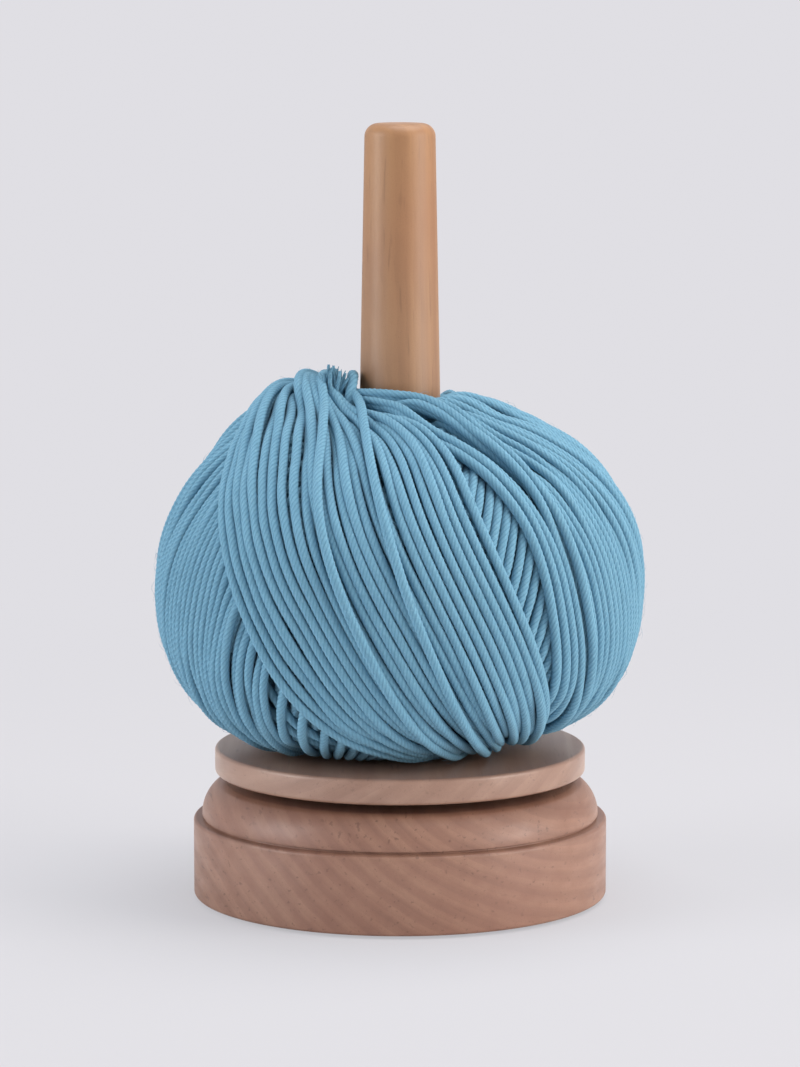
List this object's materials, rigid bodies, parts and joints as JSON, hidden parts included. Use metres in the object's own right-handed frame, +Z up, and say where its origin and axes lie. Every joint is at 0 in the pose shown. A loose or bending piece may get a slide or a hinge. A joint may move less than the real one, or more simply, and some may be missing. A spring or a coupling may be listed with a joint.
{
  "type": "yarn ball holder",
  "caption": "Turned wooden yarn ball holder: a plate with a tapered peg spins on a ball bearing in a round base, with a ball of blue yarn on it.",
  "frame": {"origin": "middle of the underside, on the table", "axes": "+Z up along the peg and the spinning axis, -Y towards the side that the picture shows, +X to its right"},
  "size_m": [0.1034, 0.1032, 0.1641],
  "materials": {
    "turned_beech": "satin clear coat over straight-grained hardwood",
    "peg_beech": "satin clear coat, paler than the base",
    "yarn": "matte, slightly hairy twisted yarn",
    "felt": "matte pressed felt",
    "bearing_steel": "bright ground steel",
    "zinc_steel": "zinc plated",
    "pressed_steel": "plain pressed sheet",
    "brass": "turned, plain"
  },
  "bodies": {
    "holder_base": {"base": "turned_beech", "felt_pad": "felt", "bearing_outer_ring": "bearing_steel", "bearing_shield_lower": "zinc_steel", "bearing_shield_upper": "zinc_steel", "bearing_retainer": "pressed_steel", "retainer_screw_1": "zinc_steel", "retainer_screw_2": "zinc_steel", "retainer_screw_3": "zinc_steel"},
    "spinner": {"bearing_inner_ring": "bearing_steel", "spindle_bolt": "zinc_steel", "spindle_washer": "zinc_steel", "spindle_spacer": "brass", "spinning_plate": "turned_beech", "peg": "peg_beech", "peg_insert": "brass"},
    "ball_set": {"bearing_cage": "pressed_steel", "bearing_ball_1": "bearing_steel", "bearing_ball_2": "bearing_steel", "bearing_ball_3": "bearing_steel", "bearing_ball_4": "bearing_steel", "bearing_ball_5": "bearing_steel", "bearing_ball_6": "bearing_steel", "bearing_ball_7": "bearing_steel"},
    "yarn_ball": {"yarn_core": "yarn", "yarn_winding": "yarn", "yarn_tail": "yarn"}
  },
  "joints": [
    {"name": "spin", "type": "hinge", "parent": "holder_base", "child": "spinner", "pos_m": [0, 0, 0.0204], "axis": [0, 0, 1], "continuous": true},
    {"name": "ball_set_spin", "type": "hinge", "parent": "holder_base", "child": "ball_set", "pos_m": [0, 0, 0.0204], "axis": [0, 0, 1], "continuous": true},
    {"name": "yarn_lift", "type": "slide", "parent": "spinner", "child": "yarn_ball", "axis": [0, 0, 1], "range_m": [0, 0.138]}
  ],
  "couplings": [
    {"joint": "ball_set_spin", "follows": "spin", "ratio": 0.36}
  ]
}
